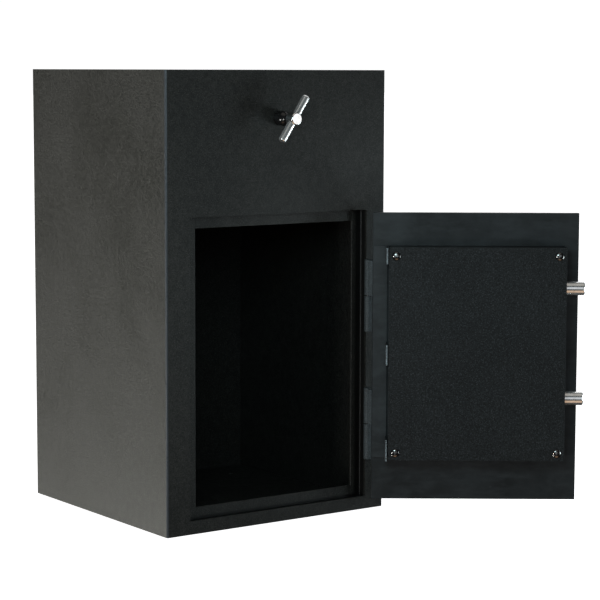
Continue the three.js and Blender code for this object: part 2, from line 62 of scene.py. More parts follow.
MM = 0.001
RECORD = frame["record"]
JOINTS = {joint["name"]: joint for joint in frame["joints"]}
SLOT_OF = {row["node"]: row["material_slot"] for row in RECORD["subparts"]}
BODY_OF = {node: body for body, nodes in RECORD["behaviour"]["bodies"].items() for node in nodes}
DOOR_BODIES = ("door", "door_handle", "boltwork", "lock_plug")

HINGE = Vector(JOINTS["door_swing"]["pos_m"])
OPEN_ANGLE = -math.radians(JOINTS["door_swing"]["range_deg"][0])
SHUT_TO_REST = (
    Matrix.Translation(HINGE) @ Matrix.Rotation(OPEN_ANGLE, 4, "Z") @ Matrix.Translation(-HINGE)
)
ALONG_X = Matrix.Rotation(math.radians(90), 4, "Y")
ALONG_Y = Matrix.Rotation(math.radians(-90), 4, "X")
ALONG_Z = Matrix.Identity(4)


# ---- Places, read from the CAD nodes ----
def place_of(body):
    """The matrix that takes what is drawn for a body to where it is at rest."""
    return SHUT_TO_REST if body in DOOR_BODIES else Matrix.Identity(4)


def corners_of(node):
    """A CAD node's vertices, with the door's parts measured shut."""
    back = place_of(BODY_OF[node]).inverted()
    return [back @ vertex.co for vertex in frame["nodes"][node].data.vertices]


def span(node):
    """Lowest and highest corner of a CAD node, with the door's parts measured shut."""
    corners = corners_of(node)
    low = Vector(min(c[i] for c in corners) for i in range(3))
    high = Vector(max(c[i] for c in corners) for i in range(3))
    return low, high


def middle(node):
    low, high = span(node)
    return (low + high) / 2


# ---- Mesh tools ----
def lathe(profile, segments=56):
    """A mesh turned about Z from (radius, height) points. A profile that ends where it starts is a ring."""
    bm = bmesh.new()
    rings = []
    for radius, height in profile:
        if radius < 1e-7:
            rings.append([bm.verts.new((0, 0, height))])
            continue
        angles = [2 * math.pi * i / segments for i in range(segments)]
        rings.append([bm.verts.new((radius * math.cos(a), radius * math.sin(a), height)) for a in angles])
    for lower, upper in zip(rings, rings[1:]):
        for i in range(segments):
            j = i + 1
            around = [lower[i % len(lower)], lower[j % len(lower)], upper[j % len(upper)], upper[i % len(upper)]]
            corners = list(dict.fromkeys(around))
            if len(corners) > 2:
                bm.faces.new(corners)
    bmesh.ops.remove_doubles(bm, verts=bm.verts, dist=1e-7)
    return bm


def rounded(points, radius):
    """An open outline with its inner corners rounded off."""
    steps = 3
    points = [Vector(p) for p in points]
    out = [points[0]]
    for before, corner, after in zip(points, points[1:], points[2:]):
        to_before, to_after = before - corner, after - corner
        reach = min(radius, 0.45 * to_before.length, 0.45 * to_after.length)
        start = corner + to_before.normalized() * reach
        end = corner + to_after.normalized() * reach
        for i in range(steps + 1):
            t = i / steps
            out.append((1 - t) ** 2 * start + 2 * t * (1 - t) * corner + t * t * end)
    out.append(points[-1])
    return out


def ring_profile(inner, outer, low, high, edge):
    """A closed ring section with rounded corners, started in the middle of its outer wall."""
    half = (low + high) / 2
    corners = [(outer, half), (outer, high), (inner, high), (inner, low), (outer, low), (outer, half)]
    return rounded(corners, edge)


def rod_profile(radius, low, high, edge):
    return rounded([(0, low), (radius, low), (radius, high), (0, high)], edge)


def box_mesh(low, high, edge=0.0):
    bm = bmesh.new()
    bmesh.ops.create_cube(bm, size=1)
    low, high = Vector(low), Vector(high)
    bmesh.ops.scale(bm, vec=high - low, verts=bm.verts)
    bmesh.ops.translate(bm, vec=(low + high) / 2, verts=bm.verts)
    if edge:
        round_edges(bm, edge)
    return bm


def round_edges(bm, width, segments=2, sharper_than=30):
    limit = math.radians(sharper_than)
    edges = [e for e in bm.edges if len(e.link_faces) == 2 and e.calc_face_angle(0) > limit]
    bmesh.ops.bevel(
        bm, geom=edges, offset=width, offset_type="OFFSET", segments=segments, profile=0.5,
        affect="EDGES", clamp_overlap=True,
    )


def cad_mesh(node):
    """A CAD node's mesh as clean flat faces, in the place it is drawn in."""
    bm = bmesh.new()
    bm.from_mesh(frame["nodes"][node].data)
    bm.transform(place_of(BODY_OF[node]).inverted())
    bmesh.ops.remove_doubles(bm, verts=bm.verts, dist=1e-6)
    bmesh.ops.dissolve_limit(bm, angle_limit=math.radians(1), verts=bm.verts, edges=bm.edges)
    return bm


def combined(bm, tool, operation):
    """bm joined with, or cut by, another closed mesh."""
    objects = []
    for source in (bm, tool):
        mesh = bpy.data.meshes.new("temporary")
        bmesh.ops.recalc_face_normals(source, faces=source.faces)
        source.to_mesh(mesh)
        source.free()
        objects.append(bpy.data.objects.new("temporary", mesh))
        bpy.context.scene.collection.objects.link(objects[-1])
    target, other = objects
    modifier = target.modifiers.new("boolean", "BOOLEAN")
    modifier.object = other
    modifier.operation = operation
    modifier.solver = "EXACT"
    evaluated = target.evaluated_get(bpy.context.evaluated_depsgraph_get())
    result = bmesh.new()
    result.from_mesh(evaluated.to_mesh())
    evaluated.to_mesh_clear()
    for o in objects:
        mesh = o.data
        bpy.data.objects.remove(o)
        bpy.data.meshes.remove(mesh)
    return result


def moved(bm, matrix):
    bm.transform(matrix)
    return bm


def make_piece(name, bm, body, material, smooth_below=35):
    """Turns a mesh drawn for a body into a piece that rides on it."""
    bm.transform(place_of(body))
    bmesh.ops.recalc_face_normals(bm, faces=bm.faces)
    mesh = bpy.data.meshes.new(name)
    bm.to_mesh(mesh)
    bm.free()
    mesh.shade_smooth()
    mesh.set_sharp_from_angle(angle=math.radians(smooth_below))
    piece = bpy.data.objects.new(name, mesh)
    bpy.context.scene.collection.objects.link(piece)
    mesh.materials.append(material)
    keep_flats_flat(piece)
    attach(piece, body)
    return piece


def keep_flats_flat(piece):
    """Gives the mesh normals that follow its large faces, so a round edge doesn't shade the flat by it."""
    modifier = piece.modifiers.new("normals", "WEIGHTED_NORMAL")
    modifier.keep_sharp = True
    evaluated = piece.evaluated_get(bpy.context.evaluated_depsgraph_get())
    drawn = piece.data
    piece.data = bpy.data.meshes.new_from_object(evaluated)
    piece.data.name = piece.name
    piece.modifiers.clear()
    bpy.data.meshes.remove(drawn)


def stand_in(node, bm, material=None, smooth_below=35):
    """A finer piece shown in place of a CAD node."""
    finish = material or FINISHES[SLOT_OF[node]]
    piece = make_piece(node + "_fine", bm, BODY_OF[node], finish, smooth_below)
    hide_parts(node)
    return piece


def extra(name, bm, body, slot, material=None):
    """A small piece that no CAD node stands for, such as a weld."""
    piece = make_piece(name, bm, body, material or FINISHES[slot])
    return piece


# ---- Materials ----
COAT_SPECULAR = 0.25  # the reflections of both painted coats
# The colour of painted shade: the dark lines where the doorway's edge shades the door stop.
PAINTED_SHADE_TONE = (0.001, 0.001, 0.001, 1.0)
RUBBED_SMOOTHER = 0.14


class Graph:
    """A material's node tree, with short calls for the nodes it needs."""

    def __init__(self, name):
        self.material = bpy.data.materials.new(name)
        self.material.use_nodes = True
        self.tree = self.material.node_tree
        self.shader = next(n for n in self.tree.nodes if n.type == "BSDF_PRINCIPLED")
        self.place = self.node("ShaderNodeTexCoord").outputs["Object"]

    def node(self, kind, settings=None, **inputs):
        made = self.tree.nodes.new(kind)
        for key, value in (settings or {}).items():
            setattr(made, key, value)
        for key, value in inputs.items():
            self.set(made.inputs[key.replace("_", " ")], value)
        return made

    def set(self, socket, value):
        if isinstance(value, bpy.types.NodeSocket):
            self.tree.links.new(value, socket)
        else:
            socket.default_value = value

    def noise(self, scale, detail=3.0, roughness=0.55, place=None):
        made = self.node("ShaderNodeTexNoise", Vector=place or self.place, Scale=scale, Detail=detail,
                         Roughness=roughness)
        return made.outputs["Fac"]

    def stretched(self, factors):
        made = self.node("ShaderNodeMapping", Vector=self.place, Scale=factors)
        return made.outputs["Vector"]

    def math(self, operation, first, second=0.0):
        made = self.node("ShaderNodeMath", {"operation": operation})
        self.set(made.inputs[0], first)
        self.set(made.inputs[1], second)
        return made.outputs[0]

    def remap(self, value, low, high, to_low, to_high):
        made = self.node("ShaderNodeMapRange", Value=value)
        for key, number in (("From Min", low), ("From Max", high), ("To Min", to_low), ("To Max", to_high)):
            made.inputs[key].default_value = number
        return made.outputs["Result"]

    def mix(self, factor, first, second):
        made = self.node("ShaderNodeMix", {"data_type": "RGBA"})
        self.set(made.inputs["Factor"], factor)
        for socket, value in ((made.inputs[6], first), (made.inputs[7], second)):
            self.set(socket, value)
        return made.outputs[2]

    def bump(self, height, distance, under=None):
        made = self.node("ShaderNodeBump", Height=height, Distance=distance, Strength=1.0)
        if under is not None:
            self.set(made.inputs["Normal"], under)
        return made.outputs["Normal"]

    def finish(self, colour, roughness, normal=None, **fixed):
        self.set(self.shader.inputs["Base Color"], colour)
        self.set(self.shader.inputs["Roughness"], roughness)
        if normal is not None:
            self.set(self.shader.inputs["Normal"], normal)
        for key, value in fixed.items():
            self.shader.inputs[key.replace("_", " ")].default_value = value
        return self.material


def grey(value, tint=(1.0, 1.0, 1.0)):
    return tuple(value * t for t in tint) + (1.0,)


def lighter(colour, times):
    return tuple(part * times for part in colour[:3]) + (1.0,)


def powder_coat(name, dark, light, grain=430.0, rough=(0.4, 0.56), bumps=0.0002, mottle=0.4,
                 graph=None, painted_shade=None, rub_and_sheen=None):
    """Black texture coat: a pebbled skin, mottled by the spray and rubbed a little greyer in soft patches.

    Of the two masks, the first darkens it as painted shade; the second makes it smoother from wear and paler, partly
    from wear and partly as a painted highlight.
    """
    g = graph or Graph(name)
    clouds = g.noise(8.0, 4.0)
    runs = g.noise(95.0, 5.0, 0.7, place=g.stretched((1, 1, 0.85)))
    pebbles = g.noise(grain, 3.0, 0.7)
    specks = g.noise(grain * 1.7, 1.5, 0.7)
    tone = g.mix(g.remap(clouds, 0.35, 0.65, 0, 1), dark, light)
    tone = g.mix(g.remap(runs, 0.4, 0.68, 0, mottle), tone, lighter(light, 2.3))
    tone = g.mix(g.remap(pebbles, 0.36, 0.56, 0.85, 0), tone, lighter(dark, 0.1))
    tone = g.mix(g.remap(specks, 0.56, 0.68, 0, 0.8), tone, lighter(light, 3.4))
    roughness = g.remap(pebbles, 0.3, 0.7, *rough)
    drift = g.remap(g.math("ADD", clouds, runs), 0.75, 1.25, 0.2 * mottle, -0.2 * mottle)
    roughness = g.math("ADD", roughness, drift)
    # Painted shade: darkens the coat where the mask marks it as lying in shade.
    if painted_shade is not None:
        tone = g.mix(painted_shade, tone, PAINTED_SHADE_TONE)
    # Paler here partly from wear and partly as a painted highlight; smoother from wear.
    if rub_and_sheen is not None:
        tone = g.mix(rub_and_sheen, tone, RUBBED_AND_SHEEN_TONE)
        roughness = g.math("SUBTRACT", roughness, g.math("MULTIPLY", rub_and_sheen, RUBBED_SMOOTHER))
    skin = g.bump(pebbles, bumps)
    skin = g.bump(specks, bumps * 0.5, under=skin)
    return g.finish(tone, roughness, skin, Specular_IOR_Level=COAT_SPECULAR)


def stop_coat():
    """The door stop's coat, darkened by painted shade above, below and on the right where it meets the doorway's cut
    edge.
    """
    g = Graph("stop_coat")
    face = span("body_wrap")[0].y
    edges = [c for c in corners_of("body_wrap") if c.y < face + MM and abs(c.x) < DOORWAY_WITHIN]
    low, high = min(c.z for c in edges), max(c.z for c in edges)
    right = max(c.x for c in edges)
    parts = g.node("ShaderNodeSeparateXYZ", Vector=g.place)
    from_middle = g.math("SUBTRACT", parts.outputs["Z"], (low + high) / 2)
    half = (high - low) / 2
    # Painted shade, in bands along the doorway's top and bottom edges and along its right side.
    level = g.remap(g.math("ABSOLUTE", from_middle), half - 2.8 * MM, half - 1.3 * MM, 0, 0.9)
    upright = g.remap(parts.outputs["X"], right - 10 * MM, right - 6 * MM, 0, 0.9)
    return powder_coat("stop_coat", *BODY_TONES, graph=g, painted_shade=g.math("MAXIMUM", level, upright))


def body_coat():
    """The body's coat, rubbed smoother along the two bends of its front, and paler there from wear and as a painted
    highlight.
    """
    g = Graph("body_coat")
    low, high = span("body_wrap")
    parts = g.node("ShaderNodeSeparateXYZ", Vector=g.place)
    to_side = g.math("SUBTRACT", high.x, g.math("ABSOLUTE", parts.outputs["X"]))
    to_front = g.math("SUBTRACT", parts.outputs["Y"], low.y)
    # Paler and smoother along the front bends: wear, and a painted highlight on the bends.
    rub_and_sheen = g.remap(g.math("ADD", to_side, to_front), 1.2 * RUB_AND_SHEEN_REACH, 0.8 * RUB_AND_SHEEN_REACH, 0, 1)
    return powder_coat("body_coat", *BODY_TONES, graph=g, rub_and_sheen=rub_and_sheen)


def handled_coat(name, tint, level):
    """Smooth black coat on the door: cloudy, wiped streaks, and a few pale scuffs where it rubs the frame."""
    g = Graph(name)
    clouds = g.noise(17.0, 5.0, 0.6)
    wipes = g.noise(60.0, 4.0, 0.6, place=g.stretched((0.5, 0.5, 1.6)))
    scuffs = g.noise(150.0, 6.0, 0.7, place=g.stretched((0.35, 0.35, 1.3)))
    skin = g.noise(600.0, 2.0)
    tone = g.mix(g.remap(clouds, 0.35, 0.66, 0, 1), grey(0.008 * level, tint), grey(0.018 * level, tint))
    tone = g.mix(g.remap(wipes, 0.45, 0.72, 0, 0.45), tone, grey(0.03 * level, tint))
    tone = g.mix(g.remap(scuffs, 0.66, 0.74, 0, 0.5), tone, grey(0.08, tint))
    roughness = g.remap(clouds, 0.3, 0.7, 0.56, 0.4)
    return g.finish(tone, roughness, g.bump(skin, 0.00006), Specular_IOR_Level=COAT_SPECULAR)


def polished_metal(name, bright, worn, rough, metallic=1.0):
    """Plated metal: mirror bright, with faint turning lines and a few dull patches from handling."""
    g = Graph(name)
    wear = g.noise(160.0, 4.0)
    fine = g.noise(2600.0, 2.0)
    tone = g.mix(g.remap(wear, 0.45, 0.75, 0, 1), bright, worn)
    roughness = g.remap(wear, 0.35, 0.75, *rough)
    return g.finish(tone, roughness, g.bump(fine, 0.000003), Metallic=metallic)


def zinc_plate(name):
    """Satin zinc: cloudy grey with the pale bloom of plating."""
    g = Graph(name)
    bloom = g.noise(70.0, 5.0)
    grain = g.noise(1500.0, 2.0, place=g.stretched((1, 1, 0.08)))
    tone = g.mix(g.remap(bloom, 0.35, 0.7, 0, 1), grey(0.36, (1, 1, 1.02)), grey(0.5, (0.98, 0.99, 1)))
    roughness = g.remap(bloom, 0.3, 0.7, 0.32, 0.5)
    return g.finish(tone, roughness, g.bump(grain, 0.00002), Metallic=1.0)


def bronze(name):
    g = Graph(name)
    stain = g.noise(120.0, 4.0)
    lines = g.noise(2200.0, 2.0, place=g.stretched((1, 0.05, 1)))
    tone = g.mix(g.remap(stain, 0.35, 0.7, 0, 1), (0.42, 0.26, 0.09, 1), (0.3, 0.17, 0.06, 1))
    return g.finish(tone, g.remap(stain, 0.3, 0.7, 0.28, 0.45), g.bump(lines, 0.00002), Metallic=1.0)


def black_gloss(name):
    """Moulded black hub: deep gloss with hairline scuffs."""
    g = Graph(name)
    scuffs = g.noise(500.0, 3.0, place=g.stretched((1, 0.15, 1)))
    tone = g.mix(g.remap(scuffs, 0.55, 0.75, 0, 1), grey(0.006), grey(0.014))
    roughness = g.remap(scuffs, 0.4, 0.75, 0.16, 0.32)
    return g.finish(tone, roughness, g.bump(scuffs, 0.00001), Coat_Weight=0.4, Coat_Roughness=0.08)


BLUISH = (0.86, 1.0, 1.08)
BODY_TONES = (grey(0.009, (1, 1, 0.94)), grey(0.014, (1, 1, 0.9)))
# The paler, bluish tone of the front bends: partly worn coat, partly a painted highlight.
RUBBED_AND_SHEEN_TONE = grey(0.05, (0.9, 1, 1.15))
RUB_AND_SHEEN_REACH = 2.6 * MM
FINISHES = {
    "powder_coat": powder_coat("powder_coat", *BODY_TONES),
    "inner_coat": powder_coat("inner_coat", grey(0.006), grey(0.01), rough=(0.6, 0.8)),
    "cover_coat": powder_coat("cover_coat", grey(0.013, BLUISH), grey(0.018, BLUISH), grain=400.0,
                              rough=(0.6, 0.8), bumps=0.0004, mottle=0.1),
    "hinge_steel": powder_coat("hinge_steel", grey(0.048, BLUISH), grey(0.062, BLUISH), grain=900.0,
                               rough=(0.5, 0.62), bumps=0.00001, mottle=0.1),
    "zinc_plate": zinc_plate("zinc_plate"),
    "chrome": polished_metal("chrome", grey(0.92), grey(0.78, (1, 0.98, 0.95)), (0.14, 0.24), 0.84),
    "black_gloss": black_gloss("black_gloss"),
    "bronze": bronze("bronze"),
}
DOORWAY_WITHIN = 160 * MM  # body_wrap's corners nearer the middle than this belong to the doorway
STOP_COAT = stop_coat()
BODY_COAT = body_coat()
BARE_ENDS = powder_coat("bare_ends", grey(0.16, BLUISH), grey(0.2, BLUISH), grain=900.0,
                        rough=(0.34, 0.5), mottle=0.2)
DOOR_COAT = handled_coat("door_coat", BLUISH, 1.5)
# The door's coat made lighter for the bracket: painted light, as if the strip beside the cover were better lit.
LIT_BRACKET_COAT = handled_coat("lit_bracket_coat", BLUISH, 2.3)
MIRROR_CHROME = polished_metal("mirror_chrome", grey(0.88), grey(0.74, (1, 0.98, 0.95)), (0.08, 0.16))
BLACK_NICKEL = polished_metal("black_nickel", grey(0.2, (1, 0.97, 0.94)), grey(0.12), (0.12, 0.24))


# ---- Sheet and plate pieces: the CAD shapes with their edges eased ----
EASED = {
    "back_panel": 0.5, "top_plate": 0.5, "floor_plate": 0.5,
    "hopper_cheek_left": 0.4, "hopper_cheek_right": 0.4,
    "hopper_baffle_left": 0.4, "hopper_baffle_right": 0.4,
    "hopper_stop_left": 0.6, "hopper_stop_right": 0.6,
    "door_plate": 0.8,
    "housing_top": 0.3, "housing_bottom": 0.3, "housing_lock_side": 0.3, "bolt_cover": 0.6,
    "upper_bolt_guide": 0.8, "lower_bolt_guide": 0.8, "bolt_carrier": 0.8,
    "lock_case": 1.0, "lock_tongue": 0.5,
}
HANDLED = {
    "door_plate": DOOR_COAT,
    "housing_top": DOOR_COAT, "housing_bottom": DOOR_COAT, "housing_lock_side": DOOR_COAT,
}
FOLDED = {
    "door_stop_left": Vector((0, 0, 1)), "door_stop_right": Vector((0, 0, 1)),
    "door_stop_top": Vector((1, 0, 0)), "door_stop_bottom": Vector((1, 0, 0)),
}
CLOSE_UP = 0.8 * MM  # the level angles are welded to the uprights, so no gap shows between them
FOLD_RADIUS = 1.8 * MM
CUT_EDGE = 0.9 * MM
REAR_ROUNDING = 2.6 * MM  # more than half the plate, so the bevel stops where its two roundings meet
WRAP_EDGE = 0.7 * MM


def eased_plates():
    for node, width in EASED.items():
        bm = cad_mesh(node)
        round_edges(bm, width * MM)
        stand_in(node, bm, HANDLED.get(node))


def body_wrap():
    """The bent shell. Its front bends are the CAD's; its rear upright edges are rounded off further."""
    bm = cad_mesh("body_wrap")
    low, high = span("body_wrap")
    rear = [e for e in bm.edges if runs_along(e, Vector((0, 0, 1))) and e.is_convex
            and e.calc_length() > 0.9 * (high.z - low.z)]
    bmesh.ops.bevel(bm, geom=rear, offset=REAR_ROUNDING, offset_type="OFFSET", segments=9, profile=0.5,
                    affect="EDGES", clamp_overlap=True)
    round_edges(bm, WRAP_EDGE, 2, sharper_than=60)
    stand_in("body_wrap", bm, BODY_COAT, smooth_below=5)


def bracket():
    """The angle beside the cover, whose three tabs end in bare, sheared metal."""
    corners = corners_of("hinge_side_bracket")
    top, side = max(c.y for c in corners), min(c.x for c in corners)
    ends = [c for c in corners if c.y > top - 0.1 * MM]
    thick = max(c.x for c in ends) - side
    levels = sorted({round(c.z, 5) for c in ends})
    bm = cad_mesh("hinge_side_bracket")
    round_edges(bm, 0.3 * MM)
    # Its coat is the door's, painted lighter as painted light.
    stand_in("hinge_side_bracket", bm, LIT_BRACKET_COAT)
    proud, deep, edge = 0.1 * MM, 1.2 * MM, 0.2 * MM
    for i in range(0, len(levels), 2):
        cap = box_mesh((side - proud, top - deep, levels[i]),
                       (side + thick + proud, top + proud, levels[i + 1]), edge)
        extra("hinge_side_bracket_tab_end_%d" % (i // 2 + 1), cap, "door", "powder_coat", BARE_ENDS)


def runs_along(edge, direction):
    one, other = edge.verts
    along = (other.co - one.co).normalized()
    return len(edge.link_faces) == 2 and abs(along.dot(direction)) > 0.99 and edge.calc_face_angle(0) > 0.5


def folded_stops():
    """The angles behind the doorway, with a fold's soft inner corner and, on the uprights, worn cut edges.

    The level ones have a 0.3 mm step at each end. It holds the fold's bevel down to 0.3 mm, and the bevel
    of the cut edges then comes out with no width, so those edges stay sharp.
    """
    for node, run in FOLDED.items():
        bm = cad_mesh(node)
        if run.x:
            low, high = span(node)
            bmesh.ops.scale(bm, vec=(1 + CLOSE_UP / (high.x - low.x), 1, 1), verts=bm.verts,
                            space=Matrix.Translation(-(low + high) / 2))
        inner = [e for e in bm.edges if runs_along(e, run) and not e.is_convex]
        bmesh.ops.bevel(bm, geom=inner, offset=FOLD_RADIUS, offset_type="OFFSET", segments=4, profile=0.5,
                        affect="EDGES", clamp_overlap=True)
        outer = [e for e in bm.edges if runs_along(e, run) and e.calc_face_angle(0) > math.radians(60)]
        bmesh.ops.bevel(bm, geom=outer, offset=CUT_EDGE, offset_type="OFFSET", segments=3, profile=0.5,
                        affect="EDGES", clamp_overlap=True)
        stand_in(node, bm, STOP_COAT)


# ---- Round pieces, turned finer than the CAD's facets ----
SHAFT = 6.0 * MM
BORE = SHAFT + 0.3 * MM
PIN_BORE = 3.3 * MM


def turned(node, profile, along, segments=64):
    """A turned mesh on a node's own axis. The profile's heights are places along that axis."""
    centre = middle(node)
    axis = along.to_3x3() @ Vector((0, 0, 1))
    centre -= axis * centre.dot(axis)
    return moved(lathe(profile, segments), Matrix.Translation(centre) @ along)


def radius_of(node):
    low, high = span(node)
    return (high.z - low.z) / 2


def long_axis(node):
    """The direction of a bar's length, from the middle of one half of it."""
    centre = middle(node)
    points = [p - centre for p in corners_of(node)]
    far = max(points, key=lambda p: p.length)
    return sum((p for p in points if p.dot(far) > 0), Vector((0, 0, 0))).normalized()


def bolts():
    """Locking bolts: polished rod with a broken edge at the tip."""
    for node in ("upper_bolt", "lower_bolt"):
        low, high = span(node)
        radius, edge = radius_of(node), 1.1 * MM
        corners = [(0, low.x), (radius - edge, low.x), (radius, low.x + edge), (radius, high.x), (0, high.x)]
        stand_in(node, turned(node, rounded(corners, 0.35 * MM), ALONG_X, 80))


def hub_profile(base, tip, radius):
    """From the bottom of the shaft's socket, over the straight part and down a hollow taper to the neck."""
    straight, taper, neck, socket = 11.4 * MM, 9.0 * MM, 5.0 * MM, 11.4 * MM
    points = [(0, base - socket), (BORE, base - socket), (BORE, base), (radius - 0.5 * MM, base)]
    points += [(radius, base - 0.5 * MM), (radius, base - straight + 0.8 * MM)]
    for i in range(1, 9):
        swing = math.pi * i / 8
        points.append((neck + (radius - neck) * (1 + math.cos(swing)) / 2, base - straight - taper * i / 8))
    return points + [(neck, tip), (0, tip)]


def t_handle(prefix):
    """A turned black hub, and a chromed head with a round bar pushed through it."""
    hub, head, bar = prefix + "_hub", prefix + "_head", prefix + "_bar"
    low, high = span(hub)
    stand_in(hub, turned(hub, hub_profile(high.y, low.y, radius_of(hub)), ALONG_Y, 72))

    axis = long_axis(bar)
    on_bar = Matrix.Translation(middle(bar)) @ axis.to_track_quat("Z", "Y").to_matrix().to_4x4()
    half = max((p - middle(bar)).dot(axis) for p in corners_of(bar))
    thick = max((p - middle(bar)).cross(axis).length for p in corners_of(bar))
    edge = 1.2 * MM
    corners = [(0, -half), (thick - edge, -half), (thick, edge - half),
               (thick, half - edge), (thick - edge, half), (0, half)]
    stand_in(bar, moved(lathe(rounded(corners, 0.3 * MM), 64), on_bar))

    low, high = span(head)
    radius = radius_of(head)
    corners = [(0, low.y), (radius - edge, low.y), (radius, low.y + edge), (radius, high.y - edge / 2),
               (radius - edge / 2, high.y), (0, high.y)]
    knob = turned(head, rounded(corners, 0.3 * MM), ALONG_Y, 72)
    loose = thick + 0.15 * MM
    way = moved(lathe([(0, -half), (loose, -half), (loose, half), (0, half)], 64), on_bar)
    stand_in(head, combined(knob, way, "DIFFERENCE"), MIRROR_CHROME)


def tapered_box(length, width, depth, draft):
    """A box from z 0 down to -depth, narrower at the bottom."""
    bm = box_mesh((-length / 2, -width / 2, -depth), (length / 2, width / 2, depth))
    for vertex in bm.verts:
        if vertex.co.z < 0:
            vertex.co.x *= draft
            vertex.co.y *= draft
    return bm


def cover_screws():
    """Pan heads with a cross recess, each driven home at its own angle."""
    turns = {"left_top": 38, "left_bottom": 61, "right_top": 12, "right_bottom": 75}
    for place, degrees in turns.items():
        node = "cover_screw_" + place
        low, high = span(node)
        head, shank, rise, rim = radius_of(node), 2.5 * MM, 3.2 * MM, 0.9 * MM
        seat = high.y - rise
        profile = [(0, low.y), (shank, low.y), (shank, seat), (head - 0.3 * MM, seat),
                   (head, seat + 0.3 * MM)]
        for i in range(9):
            swing = math.pi / 2 * i / 9
            profile.append((head * math.cos(swing), seat + rim + (rise - rim) * math.sin(swing)))
        body = turned(node, profile + [(0, high.y)], ALONG_Y, 48)
        centre = middle(node)
        turn = Matrix.Translation((centre.x, high.y, centre.z)) @ ALONG_Y
        for more in (0, 90):
            slot = tapered_box(1.25 * head, 0.26 * head, 0.62 * rise, 0.72)
            spin = Matrix.Rotation(math.radians(degrees + more), 4, "Z")
            body = combined(body, moved(slot, turn @ spin), "DIFFERENCE")
        stand_in(node, body, BLACK_NICKEL)


FOOT_BEHIND = 4.3 * MM  # from the hinge's axis back to the foot's front
TANG_ASIDE = 5.2 * MM  # from the hinge's axis to the door tang's far edge


def hinges():
    """Lift-off hinges: two bored barrels on one pin, each welded on by its foot."""
    for hand in ("upper", "lower"):
        frame_node, door_node = hand + "_hinge_frame_barrel", hand + "_hinge_door_barrel"
        low, high = span(frame_node)
        radius = HINGE.y - low.y
        foot_y = HINGE.y + FOOT_BEHIND
        foot = box_mesh((HINGE.x + 0.1 * MM, foot_y, low.z + 0.4 * MM),
                        (high.x - 0.1 * MM, high.y, high.z - 0.4 * MM))
        stand_in(frame_node, combined(barrel(radius, low.z, high.z), foot, "UNION"))
        extra(frame_node + "_weld", bead(high.x + 0.3 * MM, high.y - 0.2 * MM, low.z, high.z), "cabinet",
              "powder_coat")
        low, high = span(door_node)
        tang = box_mesh((HINGE.x - TANG_ASIDE, foot_y, low.z + 0.4 * MM),
                        (HINGE.x - 0.5 * MM, high.y, high.z - 0.4 * MM))
        stand_in(door_node, combined(barrel(radius, high.z, low.z), tang, "UNION"))
        pin, washer = hand + "_hinge_pin", hand + "_hinge_washer"
        low, high = span(pin)
        radius = (high.x - low.x) / 2
        stand_in(pin, turned(pin, rod_profile(radius, low.z, high.z, 0.8 * MM), ALONG_Z, 48))
        low, high = span(washer)
        rim = (high.x - low.x) / 2
        stand_in(washer, turned(washer, ring_profile(PIN_BORE, rim, low.z, high.z, 0.1 * MM), ALONG_Z, 48))


def barrel(radius, closed, opened):
    """A hinge barrel on the hinge's axis, with a floor at its closed end."""
    floor = closed + math.copysign(3 * MM, opened - closed)
    corners = [(0, closed), (radius, closed), (radius, opened),
               (PIN_BORE, opened), (PIN_BORE, floor), (0, floor)]
    return moved(lathe(rounded(corners, 0.8 * MM), 64), Matrix.Translation((HINGE.x, HINGE.y, 0)))


def bead(x, y, low, high):
    """A weld bead up a corner, rippled by the welder's step, with its ends run out."""
    radius, pitch = 1.5 * MM, 2.6 * MM
    steps = int((high - low) / pitch) * 4
    profile = [(0, low)]
    for i in range(1, steps):
        t = i / steps
        run_out = min(1, 8 * t, 8 * (1 - t)) ** 0.5
        ripple = 0.88 + 0.12 * abs(math.sin(math.pi * i / 4))
        profile.append((radius * ripple * run_out, low + (high - low) * t))
    return moved(lathe(profile + [(0, high)], 16), Matrix.Translation((x, y, 0)))


def drum():
    """The rotary drum: three quarters of a rolled tube between two end discs, on stub shafts."""
    low, high = span("hopper_drum")
    centre, outer = middle("hopper_end_front"), radius_of("hopper_end_front")
    inner = outer - 2.5 * MM
    window_edge, shell, steps = 135, 270, 90  # degrees round the drum, and the sections drawn
    bm = bmesh.new()
    rings = []
    for i in range(steps + 1):
        angle = math.radians(window_edge + shell * i / steps)
        across, up = math.cos(angle), math.sin(angle)
        rings.append([bm.verts.new((centre.x + r * across, y, centre.z + r * up))
                      for r, y in ((outer, low.y), (outer, high.y), (inner, high.y), (inner, low.y))])
    for one, other in zip(rings, rings[1:]):
        for i in range(4):
            bm.faces.new((one[i], one[(i + 1) % 4], other[(i + 1) % 4], other[i]))
    bm.faces.new(rings[0])
    bm.faces.new(reversed(rings[-1]))
    round_edges(bm, 0.5 * MM, 2, sharper_than=60)
    stand_in("hopper_drum", bm)

    for node in ("hopper_end_front", "hopper_end_rear"):
        low, high = span(node)
        stand_in(node, turned(node, rod_profile(radius_of(node), low.y, high.y, 0.6 * MM), ALONG_Y, 128))
    for node, toward in (("hopper_shaft_front", -1), ("hopper_shaft_rear", 1)):
        low, high = span(node)
        face, tip = (high.y, low.y) if toward < 0 else (low.y, high.y)
        collar = face + toward * 4 * MM
        corners = [(0, face), (radius_of(node), face), (radius_of(node), collar),
                   (SHAFT, collar), (SHAFT, tip), (0, tip)]
        stand_in(node, turned(node, rounded(corners, 0.7 * MM), ALONG_Y))
    low, high = span("hopper_stop_pin")
    pin = rod_profile(radius_of("hopper_stop_pin"), low.y, high.y, 0.8 * MM)
    stand_in("hopper_stop_pin", turned("hopper_stop_pin", pin, ALONG_Y, 48))


